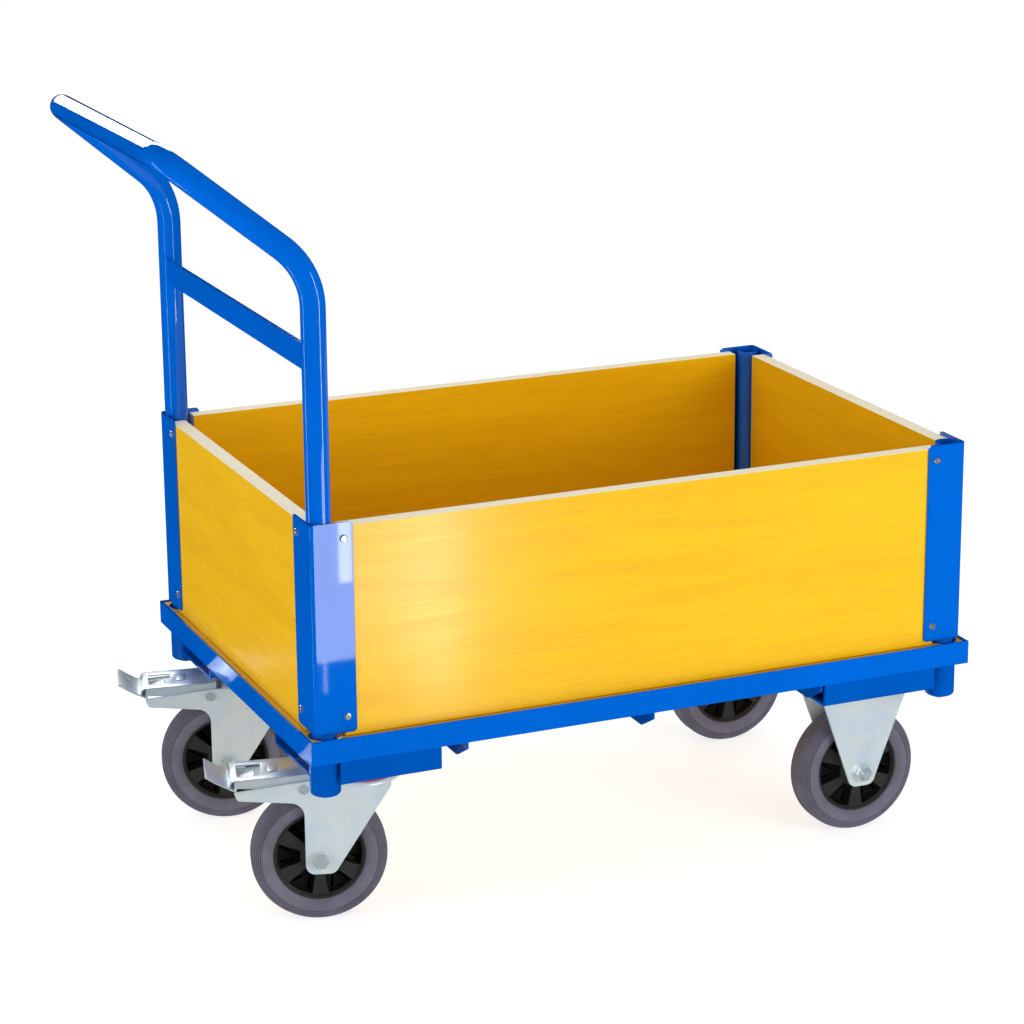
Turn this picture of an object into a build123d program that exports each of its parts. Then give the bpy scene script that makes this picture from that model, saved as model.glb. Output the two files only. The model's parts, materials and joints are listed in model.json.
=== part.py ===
"""Platform trolley with four board walls, a push bow, two braked swivel castors and two fixed castors.

Origin: on the floor, under the middle of the whole trolley's outline.
+X runs from the push bow to the far end, +Y to the back side, +Z up. Units are millimetres.
"""
import os

from build123d import *

# ---------------------------------------------------------------- deck frame
frame_length = 900
frame_width = 600
angle_leg = 30
angle_wall = 3
deck_thickness = 25
deck_gap = 1
cross_member_spacing = 250
cross_member_drop = 28
cross_member_taper = 33

# ---------------------------------------------------------------- walls and corner posts
cover_inset = 9
cover_sheet = 2
cover_flange_x = 53
cover_flange_y = 60
cover_lift = 4
cover_height = 261
cover_corner_radius = 5
panel_thickness = 20
panel_bottom_gap = 1
panel_height = 261
panel_end_gap = 1
panel_screw_radius = 2
panel_screw_head_radius = 4.6
panel_screw_head_height = 2.4
panel_screw_length = 14
panel_screw_edge = 10
panel_screw_from_end = 20

# ---------------------------------------------------------------- push bow and sockets
tube_radius = 15
tube_wall = 2
socket_gap = 0.4
socket_wall = 3.6
socket_floor = 4
socket_drop = 46
socket_edge_radius = 5
socket_bolt_radius = 4
bow_bend_above_cover = 299
bow_lean = 156
bow_rise = 131
bow_narrowing = 55
bow_bend_radius = 90
grip_bend_radius = 40
crossbar_above_cover = 195
crossbar_width = 31
crossbar_thickness = 5
crossbar_setback = 7

# ---------------------------------------------------------------- stock fasteners
frame_bolt_flats = 13
frame_bolt_head = 5.3
frame_nut_height = 6.5
frame_bolt_spare = 9
axle_flats = 19
axle_head_height = 7.5
axle_nut_height = 10
axle_spare = 14
socket_bolt_length = 30
socket_bolt_head = 4

# ---------------------------------------------------------------- castor brackets
bracket_drop = 30
bracket_sheet = 4
bracket_edge = 2
bracket_width = 169
bracket_end_inset = 13
swivel_bracket_length = 154
fixed_bracket_length = 195
bracket_socket_gap = 3

# ---------------------------------------------------------------- castors
wheel_radius = 85
tyre_width = 40
tyre_inner_radius = 60
tyre_shoulder_in = 14
tyre_shoulder_out = 12
tyre_side_height = 6
tyre_seat_taper = 3
rim_lip_radius = 54
rim_width = 32
hub_radius = 19
hub_length = 50
hub_bore_radius = 14
rib_count = 6
rib_hub_width = 10
rib_rim_width = 24
rib_inset = 2
web_thickness = 7
bearing_inset = 2
axle_radius = 6
sleeve_radius = 9
running_gap = 0.05
fork_inner_width = 52
fork_sheet = 3
swivel_x_from_end = 105
fixed_x_from_end = 103
castor_y_from_side = 116
trail = 55
steer_angle = -16
plate_length = 136
plate_width = 110
plate_sheet = 5
plate_bolt_x = 105
plate_bolt_y = 80
plate_bolt_radius = 4
tyre_to_crown = 20
crown_sheet = 5
crown_radius = 47
crown_edge_radius = 4
crown_back = 58
leg_front = 34
leg_bend = 30
leg_flare = 5
leg_half_width = 18
leg_below_axle = 19
leg_corner_radius = 12
leg_top_corner = 10
arm_root = 14
arm_root_depth = 30
arm_root_radius = 18
arm_tip_depth = 22
arm_tip_cut = 5
seal_radius = 43
seal_gap = 0.5
kingpin_radius = 8
kingpin_head_radius = 14
kingpin_head_height = 5
race_radius = 35
race_height = 10
race_cap = 7
race_seal_gap = 0.8
ball_radius = 4
ball_circle = 26
ball_count = 16
arm_past_tyre = 19
fixed_leg_flare = 4
fixed_leg_flat = 26
fixed_leg_foot = 16
fixed_leg_top = 8
plate_corner_radius = 12
pedal_pin_behind_axle = 18
pedal_pin_below_crown = 11
pedal_pin_radius = 4
pedal_width = 46
pedal_sheet = 3
pedal_rise = 8
pedal_back = 9
pedal_step = 10
foot_length = 35
foot_rise = 10
pedal_hole_length = 20
pedal_hole_width = 22
pedal_hole_from_step = 15
pedal_boss_length = 10
pedal_boss_width = 16
pedal_boss_height = 5.5
pedal_boss_from_step = 45
pedal_corner_radius = 9
pedal_wall = 7
pedal_hollow_reach = 30
shoe_width = 28
shoe_near_pin = 11
shoe_far_pin = 25
rivet_head_radius = 6
rivet_head_height = 1.8

# ---------------------------------------------------------------- values worked out from the above
beyond = 2 * frame_length
socket_radius = tube_radius + socket_gap + socket_wall
crown_top = 2 * wheel_radius + tyre_to_crown
race_gap_bottom = crown_top + race_height
race_gap_top = race_gap_bottom + 2 * ball_radius + running_gap
plate_bottom = race_gap_top - running_gap + race_cap
bracket_bottom = plate_bottom + plate_sheet
frame_bottom = bracket_bottom + bracket_drop
lip_top = frame_bottom + angle_leg
deck_bottom = frame_bottom + angle_wall
deck_top = deck_bottom + deck_thickness
half_length = frame_length / 2
half_width = frame_width / 2
post_inset = cover_inset + cover_sheet + tube_radius
post_x = half_length - post_inset
post_y = half_width - post_inset
panel_face_inset = cover_inset + cover_sheet
panel_bottom = deck_top + panel_bottom_gap
panel_top = panel_bottom + panel_height
cover_bottom = lip_top + cover_lift
cover_top = cover_bottom + cover_height
bow_bend_height = cover_top + bow_bend_above_cover
crossbar_height = cover_top + crossbar_above_cover
socket_bottom = frame_bottom - socket_drop
castor_y = half_width - castor_y_from_side
arm_reach = trail + wheel_radius + arm_past_tyre
pedal_pin_x = -trail - pedal_pin_behind_axle
pedal_pin_z = crown_top - pedal_pin_below_crown
fork_half = fork_inner_width / 2 + fork_sheet
grip_x = -post_x - bow_lean
grip_y = post_y - bow_narrowing
grip_z = bow_bend_height + bow_rise
# The bow overhangs the frame at the push end, so the frame sits off the middle of the outline.
frame_x = (tube_radius - grip_x - half_length) / 2

CORNERS = [(sx, sy) for sx in (-1, 1) for sy in (-1, 1)]
POSTS = [(frame_x + sx * post_x, sy * post_y) for sx, sy in CORNERS]
SIDES = {"front": -1, "back": 1}

os.makedirs("parts", exist_ok=True)


def save(piece, name):
    """Label a finished piece and write it under its own name."""
    piece.label = name
    export_step(piece, f"parts/{name}.step")


def placed(piece, *places):
    """The same piece at each given place, as separate solids of one part."""
    with BuildPart() as group:
        with Locations(*places):
            add(piece)
    return group.part


def hexagon(across_flats, height):
    """Hexagon prism standing on the XY plane."""
    with BuildPart() as prism:
        with BuildSketch():
            RegularPolygon(across_flats / 2, 6, major_radius=False)
        extrude(amount=height)
        chamfer(prism.faces().sort_by(Axis.Z)[-1].edges(), height * 0.12)
    return prism.part


def hex_bolt(radius, length, across_flats, head):
    """Bolt with its head above the XY plane and its shank below it."""
    with BuildPart() as bolt:
        add(hexagon(across_flats, head))
        Cylinder(radius, length, align=(Align.CENTER, Align.CENTER, Align.MAX))
        chamfer(bolt.edges().sort_by(Axis.Z)[0], radius * 0.15)
    return bolt.part


def hex_nut(radius, across_flats, height):
    """Nut standing on the XY plane."""
    with BuildPart() as nut:
        add(hexagon(across_flats, height))
        Cylinder(radius, height * 3, mode=Mode.SUBTRACT)
    return nut.part


# ---------------------------------------------------------------- deck frame
def rail(outline):
    """Angle steel lying along one side, mitred at both ends and cut round the corner sockets."""
    with BuildPart() as angle:
        with BuildSketch(Plane.XY.offset(frame_bottom)):
            Polygon(*outline, align=None)
        extrude(amount=angle_leg)
        with Locations((frame_x, 0, frame_bottom + angle_wall)):
            Box(
                frame_length - 2 * angle_wall,
                frame_width - 2 * angle_wall,
                angle_leg,
                align=(Align.CENTER, Align.CENTER, Align.MIN),
                mode=Mode.SUBTRACT,
            )
        with Locations(*[(x, y, frame_bottom) for x, y in POSTS]):
            Cylinder(socket_radius, 3 * angle_leg, mode=Mode.SUBTRACT)
    return angle.part


def side_outline(sy):
    y_out, y_in = sy * half_width, sy * (half_width - angle_leg)
    reach = half_length - angle_leg
    return [
        (frame_x - half_length, y_out),
        (frame_x + half_length, y_out),
        (frame_x + reach, y_in),
        (frame_x - reach, y_in),
    ]


def end_outline(sx):
    x_out, x_in = frame_x + sx * half_length, frame_x + sx * (half_length - angle_leg)
    reach = half_width - angle_leg
    return [(x_out, -half_width), (x_out, half_width), (x_in, reach), (x_in, -reach)]


save(rail(side_outline(-1)), "front_rail")
save(rail(side_outline(1)), "back_rail")
save(rail(end_outline(-1)), "push_end_rail")
save(rail(end_outline(1)), "far_end_rail")

# Cross members: angles on which the deck lies, with the hanging leg tapered at both ends.
leg_half = half_width - angle_wall - 1
with BuildPart() as cross_member:
    with BuildSketch(Plane.YZ):
        Polygon(
            (-leg_half, frame_bottom),
            (leg_half, frame_bottom),
            (leg_half, frame_bottom - cross_member_drop * 0.35),
            (leg_half - cross_member_taper, frame_bottom - cross_member_drop),
            (-leg_half + cross_member_taper, frame_bottom - cross_member_drop),
            (-leg_half, frame_bottom - cross_member_drop * 0.35),
            align=None,
        )
    extrude(amount=angle_wall)
    with Locations((0, 0, frame_bottom)):
        Box(
            angle_leg,
            frame_width - 2 * angle_leg,
            angle_wall,
            align=(Align.MIN, Align.CENTER, Align.MIN),
        )
far_cross_x = half_length - bracket_end_inset - fixed_bracket_length - 2 * angle_wall
cross_places = [(frame_x + x, 0, 0) for x in (-cross_member_spacing, 0, far_cross_x)]
save(placed(cross_member.part, *cross_places), "cross_members")

# Deck board, resting on the angles and cut round the sockets.
with BuildPart() as deck_board:
    with Locations((frame_x, 0, deck_bottom)):
        Box(
            frame_length - 2 * (angle_wall + deck_gap),
            frame_width - 2 * (angle_wall + deck_gap),
            deck_thickness,
            align=(Align.CENTER, Align.CENTER, Align.MIN),
        )
    with Locations(*[(x, y, deck_bottom) for x, y in POSTS]):
        Cylinder(socket_radius + deck_gap, 3 * deck_thickness, mode=Mode.SUBTRACT)
save(deck_board.part, "deck_board")

# Corner sockets: tubes closed at the bottom, with a hole for the bolt that holds the post down.
with BuildPart() as socket:
    with Locations((0, 0, socket_bottom)):
        Cylinder(socket_radius, deck_top - socket_bottom, align=(Align.CENTER, Align.CENTER, Align.MIN))
    fillet(socket.edges().sort_by(Axis.Z)[0], socket_edge_radius)
    with Locations((0, 0, socket_bottom + socket_floor)):
        Cylinder(
            socket_radius - socket_wall,
            deck_top,
            align=(Align.CENTER, Align.CENTER, Align.MIN),
            mode=Mode.SUBTRACT,
        )
    with Locations((0, 0, socket_bottom)):
        Cylinder(socket_bolt_radius, 3 * socket_floor, mode=Mode.SUBTRACT)
save(placed(socket.part, *[(x, y, 0) for x, y in POSTS]), "corner_sockets")

with BuildPart() as socket_bolt:
    add(hex_bolt(socket_bolt_radius, socket_bolt_length, frame_bolt_flats, socket_bolt_head))
flip = Location((0, 0, socket_bottom), (180, 0, 0))
socket_bolts = placed(socket_bolt.part, *[Location((x, y, 0)) * flip for x, y in POSTS])
save(socket_bolts, "socket_bolts")

# ---------------------------------------------------------------- push bow
bow_start = socket_bottom + socket_floor + 1
bow_points = [
    (-post_x, -post_y, bow_start),
    (-post_x, -post_y, bow_bend_height),
    (grip_x, -grip_y, grip_z),
    (grip_x, grip_y, grip_z),
    (-post_x, post_y, bow_bend_height),
    (-post_x, post_y, bow_start),
]
bow_points = [(frame_x + x, y, z) for x, y, z in bow_points]
with BuildPart() as push_bow:
    with BuildLine():
        FilletPolyline(
            *bow_points,
            radius=[bow_bend_radius, grip_bend_radius, grip_bend_radius, bow_bend_radius],
        )
    with BuildSketch(Plane(origin=bow_points[0], z_dir=(0, 0, 1))):
        Circle(tube_radius)
        Circle(tube_radius - tube_wall, mode=Mode.SUBTRACT)
    sweep()
save(push_bow.part, "push_bow")

# Flat bar welded between the bow's legs, on their outer side, its ends cut to the tubes.
with BuildPart() as bow_crossbar:
    with Locations((frame_x - post_x - crossbar_setback, 0, crossbar_height)):
        Box(crossbar_thickness, 2 * post_y, crossbar_width)
    with Locations(*[(frame_x - post_x, sy * post_y, crossbar_height) for sy in (-1, 1)]):
        Cylinder(tube_radius, 3 * crossbar_width, mode=Mode.SUBTRACT)
save(bow_crossbar.part, "bow_crossbar")

# Short posts at the far end, standing in their sockets like the bow's legs.
with BuildPart() as post_tubes:
    with Locations(*[(frame_x + post_x, sy * post_y, bow_start) for sy in (-1, 1)]):
        Cylinder(
            tube_radius, cover_top - 2 - bow_start, align=(Align.CENTER, Align.CENTER, Align.MIN)
        )
        Cylinder(
            tube_radius - tube_wall,
            cover_top,
            align=(Align.CENTER, Align.CENTER, Align.MIN),
            mode=Mode.SUBTRACT,
        )
save(post_tubes.part, "post_tubes")

# ---------------------------------------------------------------- corner covers, panels and their screws
screw_heights = [cover_bottom + panel_screw_from_end, cover_top - panel_screw_from_end]
screw_x = half_length - cover_inset - cover_flange_x + panel_screw_edge + 2
screw_y = half_width - cover_inset - cover_flange_y + panel_screw_edge + 2
face_x = half_length - cover_inset
face_y = half_width - cover_inset


def screw_places(sx, sy):
    """The places of one corner's four screws, their heads looking outwards."""
    long_side = Plane(origin=(0, sy * face_y, 0), x_dir=(1, 0, 0), z_dir=(0, sy, 0))
    short_side = Plane(origin=(sx * face_x, 0, 0), x_dir=(0, 1, 0), z_dir=(sx, 0, 0))
    shift = Location((frame_x, 0, 0))
    places = []
    for z in screw_heights:
        places.append(shift * Location((sx * screw_x, 0, z)) * long_side.location)
        places.append(shift * Location((0, sy * screw_y, z)) * short_side.location)
    return places


ALL_SCREWS = [place for sx, sy in CORNERS for place in screw_places(sx, sy)]


def corner_cover(sx, sy):
    """Folded sheet that wraps one post and clamps the two panel ends beside it."""
    with BuildPart() as cover:
        with Locations((frame_x + sx * face_x, sy * face_y, cover_bottom)):
            Box(
                cover_flange_x,
                cover_flange_y,
                cover_top - cover_bottom,
                align=(
                    Align.MAX if sx > 0 else Align.MIN,
                    Align.MAX if sy > 0 else Align.MIN,
                    Align.MIN,
                ),
            )
        bend = cover.edges().filter_by(Axis.Z).sort_by_distance((frame_x + sx * beyond, sy * beyond, 0))[0]
        fillet(bend, 2 * cover_sheet)
        inner_x = frame_x + sx * (face_x - cover_sheet - cover_flange_x / 2 - 9)
        inner_y = sy * (face_y - cover_sheet - cover_flange_y / 2 - 9)
        with Locations((inner_x, inner_y, cover_bottom)):
            Box(
                cover_flange_x + 18,
                cover_flange_y + 18,
                2 * (cover_top - cover_bottom),
                mode=Mode.SUBTRACT,
            )
        free_ends = [
            edge
            for edge in cover.edges()
            if abs(edge.length - cover_sheet) < 0.01
            and edge.center().Z in (cover_bottom, cover_top)
        ]
        fillet(free_ends, cover_corner_radius)
        with Locations(*screw_places(sx, sy)):
            Cylinder(panel_screw_radius, 4 * cover_sheet, mode=Mode.SUBTRACT)
    return cover.part


for (sx, sy), name in zip(CORNERS, ("push_front", "push_back", "far_front", "far_back")):
    save(corner_cover(sx, sy), f"{name}_corner_cover")


def panel(length, at_x, at_y, turned):
    """Laminated board standing on the deck between two posts."""
    with BuildPart() as board:
        with Locations((frame_x + at_x, at_y, panel_bottom)):
            Box(
                panel_thickness if turned else length,
                length if turned else panel_thickness,
                panel_top - panel_bottom,
                align=(Align.CENTER, Align.CENTER, Align.MIN),
            )
        with Locations(*ALL_SCREWS):
            Cylinder(
                panel_screw_radius, 2 * (panel_screw_length + cover_sheet), mode=Mode.SUBTRACT
            )
    return board.part


panel_side_length = 2 * (post_x - tube_radius - panel_end_gap)
panel_end_length = 2 * (post_y - tube_radius - panel_end_gap)
panel_y = half_width - panel_face_inset - panel_thickness / 2
panel_x = half_length - panel_face_inset - panel_thickness / 2
save(panel(panel_side_length, 0, -panel_y, False), "front_panel")
save(panel(panel_side_length, 0, panel_y, False), "back_panel")
save(panel(panel_end_length, -panel_x, 0, True), "push_end_panel")
save(panel(panel_end_length, panel_x, 0, True), "far_end_panel")

# Pan-head screws with a cross recess.
with BuildPart() as panel_screw:
    Cylinder(
        panel_screw_head_radius,
        panel_screw_head_height,
        align=(Align.CENTER, Align.CENTER, Align.MIN),
    )
    fillet(panel_screw.edges().sort_by(Axis.Z)[-1], panel_screw_head_height * 0.7)
    with Locations((0, 0, panel_screw_head_height)):
        Box(4.2, 0.9, 2.2, mode=Mode.SUBTRACT)
        Box(0.9, 4.2, 2.2, mode=Mode.SUBTRACT)
    Cylinder(
        panel_screw_radius,
        panel_screw_length + cover_sheet,
        align=(Align.CENTER, Align.CENTER, Align.MAX),
    )
save(placed(panel_screw.part, *ALL_SCREWS), "panel_screws")

# ---------------------------------------------------------------- castor places and brackets
swivel_x = -half_length + swivel_x_from_end
fixed_x = half_length - fixed_x_from_end
swivel_places = {
    name: Location((frame_x + swivel_x, sy * castor_y, 0)) for name, sy in SIDES.items()
}
fixed_places = {
    name: Location((frame_x + fixed_x, sy * castor_y, 0)) for name, sy in SIDES.items()
}
castor_places = list(swivel_places.values()) + list(fixed_places.values())
plate_bolts = [
    place * Location((bx * plate_bolt_x / 2, by * plate_bolt_y / 2, 0))
    for place in castor_places
    for bx, by in CORNERS
]
socket_clear = socket_radius + bracket_socket_gap


def bracket(sx, sy, length):
    """Folded channel under one corner, open at both ends, notched round the socket."""
    x_outer = frame_x + sx * (half_length - bracket_end_inset)
    y_outer = sy * (half_width - bracket_edge)
    align_x = Align.MAX if sx > 0 else Align.MIN
    align_y = Align.MAX if sy > 0 else Align.MIN
    with BuildPart() as channel:
        with Locations((x_outer, y_outer, bracket_bottom)):
            Box(length, bracket_width, bracket_drop, align=(align_x, align_y, Align.MIN))
        outer_edges = channel.edges().filter_by(Axis.X).group_by(Axis.Z)[0]
        fillet(outer_edges, bracket_sheet)
        with Locations((x_outer, y_outer - sy * bracket_width / 2, bracket_bottom + bracket_sheet)):
            Box(
                3 * length,
                bracket_width - 2 * bracket_sheet,
                2 * bracket_drop,
                align=(Align.CENTER, Align.CENTER, Align.MIN),
                mode=Mode.SUBTRACT,
            )
        notch_x = frame_x + sx * (post_x - socket_clear)
        with Locations((notch_x, sy * (post_y - socket_clear), frame_bottom)):
            Box(
                length,
                bracket_width,
                4 * bracket_drop,
                align=(
                    Align.MIN if sx > 0 else Align.MAX,
                    Align.MIN if sy > 0 else Align.MAX,
                    Align.CENTER,
                ),
                mode=Mode.SUBTRACT,
            )
        with Locations(*plate_bolts):
            Cylinder(plate_bolt_radius, 4 * frame_bottom, mode=Mode.SUBTRACT)
    return channel.part


with BuildPart() as castor_brackets:
    for sy in SIDES.values():
        add(bracket(-1, sy, swivel_bracket_length))
        add(bracket(1, sy, fixed_bracket_length))
save(castor_brackets.part, "castor_brackets")

bolt_grip = bracket_sheet + plate_sheet
bolt_rise = Location((0, 0, bracket_bottom + bracket_sheet))
plate_bolt = hex_bolt(plate_bolt_radius, bolt_grip + frame_bolt_spare, frame_bolt_flats, frame_bolt_head)
save(placed(plate_bolt, *[place * bolt_rise for place in plate_bolts]), "castor_bolts")
nut_drop = Location((0, 0, plate_bottom - frame_nut_height))
plate_nut = hex_nut(plate_bolt_radius, frame_bolt_flats, frame_nut_height)
save(placed(plate_nut, *[place * nut_drop for place in plate_bolts]), "castor_nuts")


def castor_plate():
    """Top plate of a castor with its four bolt holes."""
    with BuildPart() as plate:
        with BuildSketch(Plane.XY.offset(plate_bottom)):
            RectangleRounded(plate_length, plate_width, plate_corner_radius)
        extrude(amount=plate_sheet)
        with Locations((0, 0, plate_bottom)):
            with GridLocations(plate_bolt_x, plate_bolt_y, 2, 2):
                Cylinder(plate_bolt_radius, 4 * plate_sheet, mode=Mode.SUBTRACT)
    return plate.part


# ---------------------------------------------------------------- wheels, round the origin on the Y axis
def ring(outer, inner, width):
    """Plain ring on the Y axis."""
    with BuildPart() as tube:
        Cylinder(outer, width, rotation=(90, 0, 0))
        Cylinder(inner, 2 * width, rotation=(90, 0, 0), mode=Mode.SUBTRACT)
    return tube.part


def tyre():
    """Solid tyre with a flat tread and round shoulders."""
    half = tyre_width / 2
    tread = half - tyre_shoulder_out
    seat = half - tyre_seat_taper
    shoulder = wheel_radius - tyre_shoulder_in
    side = shoulder - tyre_side_height
    with BuildPart() as rubber:
        with BuildSketch(Plane.YZ):
            with BuildLine():
                Polyline(
                    (half, shoulder),
                    (half, side),
                    (seat, tyre_inner_radius),
                    (-seat, tyre_inner_radius),
                    (-half, side),
                    (-half, shoulder),
                )
                EllipticalCenterArc(
                    (tread, shoulder), tyre_shoulder_out, tyre_shoulder_in, start_angle=0, arc_size=90
                )
                Line((tread, wheel_radius), (-tread, wheel_radius))
                EllipticalCenterArc(
                    (-tread, shoulder), tyre_shoulder_out, tyre_shoulder_in, start_angle=90, arc_size=90
                )
            make_face()
        revolve(axis=Axis.Y)
    return rubber.part


def rim():
    """Plastic rim: a hub and an outer ring joined by a web with ribs on both faces."""
    rib_depth = rim_width / 2 - rib_inset
    rib_start, rib_end = hub_radius - 1, rim_lip_radius + 0.5
    with BuildPart() as wheel_rim:
        add(ring(tyre_inner_radius, rim_lip_radius, rim_width))
        add(ring(hub_radius, hub_bore_radius, hub_length))
        add(ring(rim_lip_radius + 1, hub_radius - 1, web_thickness))
        for k in range(rib_count):
            angle = 360 / rib_count * (k + 0.5)
            with BuildSketch(Plane.XZ.offset(-rib_depth)):
                with Locations(Rotation(0, 0, angle)):
                    Polygon(
                        (rib_start, -rib_hub_width / 2),
                        (rib_end, -rib_rim_width / 2),
                        (rib_end, rib_rim_width / 2),
                        (rib_start, rib_hub_width / 2),
                        align=None,
                    )
            extrude(amount=2 * rib_depth)
    return wheel_rim.part


def roller_bearing():
    """Cage and rollers as one plain bush between the hub and the sleeve."""
    return ring(hub_bore_radius, sleeve_radius + running_gap, hub_length - 2 * bearing_inset)


axle_bolt_length = 2 * fork_half + axle_spare
axle_head = hex_bolt(axle_radius, axle_bolt_length, axle_flats, axle_head_height)
axle_nut_part = hex_nut(axle_radius, axle_flats, axle_nut_height)
wheel_centre = Location((0, 0, wheel_radius))
head_front = wheel_centre * Location((0, -fork_half, 0), (90, 0, 0))
nut_back = wheel_centre * Location((0, fork_half, 0), (-90, 0, 0))
head_back = wheel_centre * Location((0, fork_half, 0), (-90, 0, 0))
nut_front = wheel_centre * Location((0, -fork_half, 0), (90, 0, 0))
axle_sleeve = ring(sleeve_radius, axle_radius, fork_inner_width)
wheel_pieces = {"rim": rim(), "tyre": tyre(), "roller_bearing": roller_bearing()}


def save_wheel(prefix, place):
    for name, piece in wheel_pieces.items():
        save(placed(piece, place * wheel_centre), f"{prefix}_{name}")


# ---------------------------------------------------------------- swivel castors, made round the kingpin
def fork_sides(plan, outline):
    """Two folded side sheets: their path seen from above, cut to the outline seen from the side.

    Each outline corner is its x, its z and the radius that rounds it.
    """
    points = [corner[:2] for corner in outline]
    radii = [corner[2] for corner in outline]
    with BuildPart() as sides:
        for side in (-1, 1):
            with BuildSketch():
                inner = [(x, side * (y - fork_sheet)) for x, y in plan]
                outer = [(x, side * y) for x, y in reversed(plan)]
                Polygon(*inner, *outer, align=None)
            extrude(amount=plate_bottom)
        with BuildSketch(Plane.XZ.offset(-2 * crown_radius)):
            with BuildLine():
                FilletPolyline(*points, radius=radii, close=True)
            make_face()
        extrude(amount=4 * crown_radius, mode=Mode.INTERSECT)
    return sides.part


def swivel_fork():
    """Fork with a round crown, two legs and the two arms that carry the brake pedal."""
    plan = [(-arm_reach, fork_half), (-leg_bend, fork_half), (leg_front, fork_half + leg_flare)]
    outline = [
        (leg_front, plate_bottom, 1),
        (leg_front, crown_top - leg_top_corner, 6),
        (leg_half_width - trail, wheel_radius - leg_below_axle, leg_corner_radius),
        (-leg_half_width - trail, wheel_radius - leg_below_axle, leg_corner_radius),
        (-leg_half_width - trail, crown_top - arm_root_depth, arm_root_radius),
        (arm_tip_cut - arm_reach, crown_top - arm_tip_depth, 4),
        (-arm_reach, crown_top - arm_tip_depth / 2, 2),
        (-arm_root - trail, crown_top - 1, 1),
        (-arm_root - trail, plate_bottom, 1),
    ]
    with BuildPart() as crown:
        with BuildSketch(Plane.XY.offset(crown_top - crown_sheet)):
            Circle(crown_radius)
            Polygon(
                (-crown_back, -fork_half),
                (-leg_bend, -fork_half),
                (0, -crown_radius),
                (0, crown_radius),
                (-leg_bend, fork_half),
                (-crown_back, fork_half),
                align=None,
            )
        extrude(amount=crown_sheet)
        fillet(crown.edges().group_by(Axis.Z)[-1], crown_edge_radius)
    with BuildPart() as fork:
        add(fork_sides(plan, outline))
        with Locations((0, 0, crown_top - 1)):
            Box(
                beyond,
                beyond,
                plate_bottom,
                align=(Align.CENTER, Align.CENTER, Align.MIN),
                mode=Mode.SUBTRACT,
            )
        add(crown.part)
        with BuildSketch(Plane.XY.offset(crown_top)):
            Circle(race_radius)
        extrude(amount=race_height)
        with Locations((0, 0, crown_top)):
            Cylinder(kingpin_radius + running_gap, plate_bottom, mode=Mode.SUBTRACT)
        with Locations((-trail, 0, wheel_radius)):
            Cylinder(axle_radius, 4 * fork_half, rotation=(90, 0, 0), mode=Mode.SUBTRACT)
        with Locations((pedal_pin_x, 0, pedal_pin_z)):
            Cylinder(pedal_pin_radius, 4 * fork_half, rotation=(90, 0, 0), mode=Mode.SUBTRACT)
    return fork.part


def swivel_plate():
    """Top plate with the upper race of the swivel bearing."""
    with BuildPart() as plate:
        add(castor_plate())
        with Locations((0, 0, plate_bottom)):
            Cylinder(
                seal_radius,
                plate_bottom - race_gap_top,
                align=(Align.CENTER, Align.CENTER, Align.MAX),
            )
        with Locations((0, 0, plate_bottom)):
            Cylinder(kingpin_radius, 4 * plate_sheet, mode=Mode.SUBTRACT)
    return plate.part


def dust_seal():
    """Soft ring that closes the gap between the two races."""
    seal_bottom = crown_top + seal_gap
    with BuildPart() as seal:
        with BuildSketch(Plane.XY.offset(seal_bottom)):
            Circle(seal_radius)
            Circle(race_radius + race_seal_gap, mode=Mode.SUBTRACT)
        extrude(amount=race_gap_top - seal_bottom)
    return seal.part


def kingpin():
    """Rivet that joins the top plate to the fork, its head under the crown."""
    head_top = crown_top - crown_sheet - running_gap
    with BuildPart() as pin:
        with Locations((0, 0, head_top)):
            Cylinder(
                kingpin_head_radius,
                kingpin_head_height,
                align=(Align.CENTER, Align.CENTER, Align.MAX),
            )
            Cylinder(
                kingpin_radius,
                bracket_bottom - head_top,
                align=(Align.CENTER, Align.CENTER, Align.MIN),
            )
    return pin.part


def bearing_balls():
    with BuildPart() as balls:
        with Locations((0, 0, race_gap_bottom + ball_radius)):
            with PolarLocations(ball_circle, ball_count):
                Sphere(ball_radius)
    return balls.part


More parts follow.
